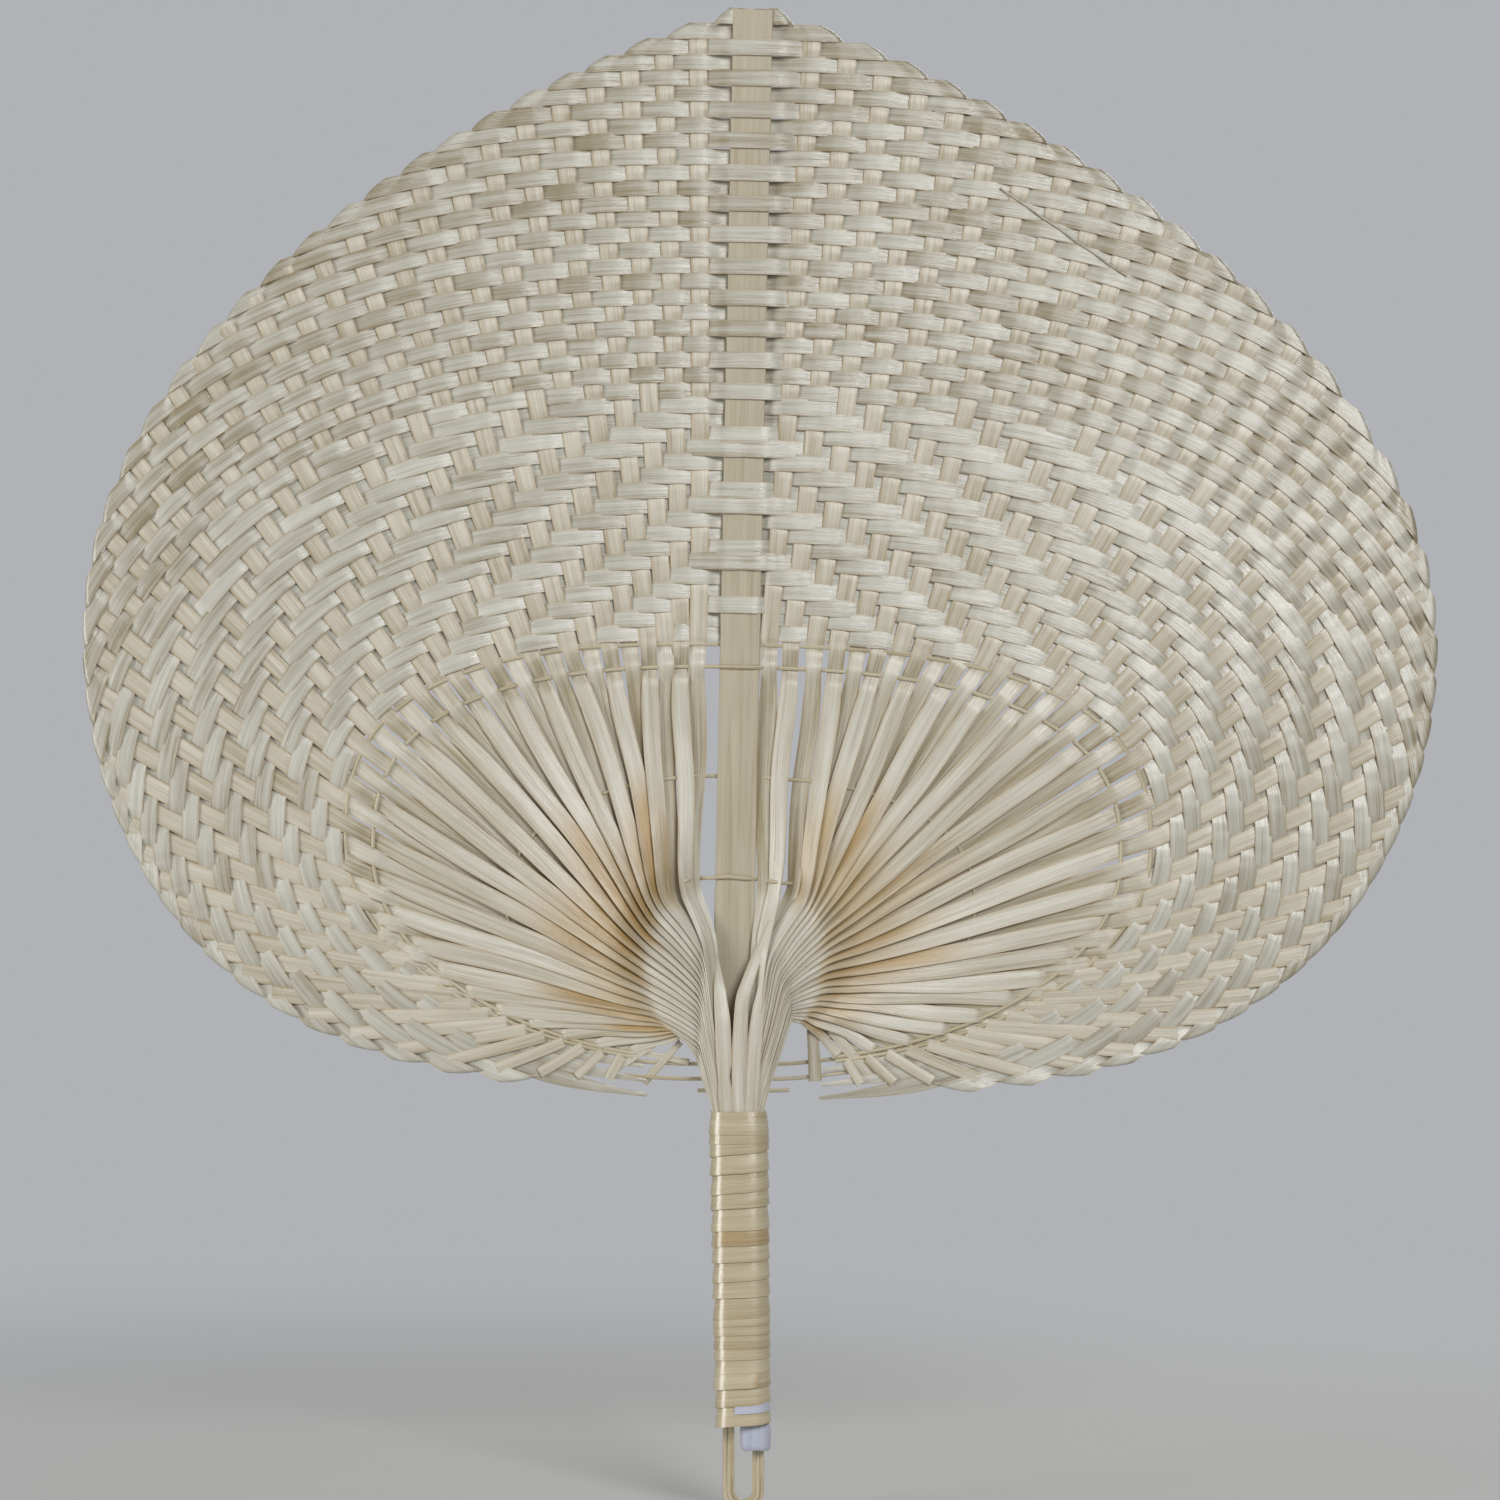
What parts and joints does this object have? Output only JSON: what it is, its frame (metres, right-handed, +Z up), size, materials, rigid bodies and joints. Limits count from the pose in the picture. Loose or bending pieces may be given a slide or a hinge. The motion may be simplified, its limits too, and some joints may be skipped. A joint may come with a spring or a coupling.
{
  "type": "woven bamboo hand fan",
  "caption": "Flat heart-shaped hand fan of interlaced bamboo splints round an open window, with a slat spine, a strip-wound grip and a hanging loop.",
  "frame": {"origin": "middle of the wound grip, on the handle's centre line", "axes": "+Z up the handle towards the blade's tip, +Y out of the back, +X to the right as seen from the front"},
  "size_m": [0.3246, 0.011, 0.3605],
  "materials": {
    "weft_splint": "satin",
    "rib_splint": "satin",
    "slat": "matte",
    "bamboo_skin": "semi-gloss",
    "white_tape": "matte"
  },
  "bodies": {
    "root": {"spine_slat": "slat", "rib_left_01": "rib_splint", "rib_left_02": "rib_splint", "rib_left_03": "rib_splint", "rib_left_04": "rib_splint", "rib_left_05": "rib_splint", "rib_left_06": "rib_splint", "rib_left_07": "rib_splint", "rib_left_08": "rib_splint", "rib_left_09": "rib_splint", "rib_left_10": "rib_splint", "rib_right_01": "rib_splint", "rib_right_02": "rib_splint", "rib_right_03": "rib_splint", "rib_right_04": "rib_splint", "rib_right_05": "rib_splint", "rib_right_06": "rib_splint", "rib_right_07": "rib_splint", "rib_right_08": "rib_splint", "rib_right_09": "rib_splint", "rib_right_10": "rib_splint", "weft_01": "weft_splint", "weft_02": "weft_splint", "weft_03": "weft_splint", "weft_04": "weft_splint", "weft_05": "weft_splint", "weft_06": "weft_splint", "weft_07": "weft_splint", "weft_08": "weft_splint", "weft_09": "weft_splint", "weft_10": "weft_splint", "weft_11": "weft_splint", "weft_12": "weft_splint", "weft_13": "weft_splint", "weft_14": "weft_splint", "weft_15": "weft_splint", "weft_16": "weft_splint", "weft_17": "weft_splint", "weft_18": "weft_splint", "weft_19": "weft_splint", "weft_20": "weft_splint", "hoop_edge": "rib_splint", "hoop_window": "rib_splint", "hoop_middle": "rib_splint", "hoop_inner": "rib_splint", "lower_rod_1": "rib_splint", "lower_rod_2": "rib_splint", "lower_rod_3": "rib_splint", "grip_wrap": "bamboo_skin", "end_tape": "white_tape", "hang_loop_inner": "bamboo_skin", "hang_loop_outer": "bamboo_skin"}
  },
  "joints": []
}
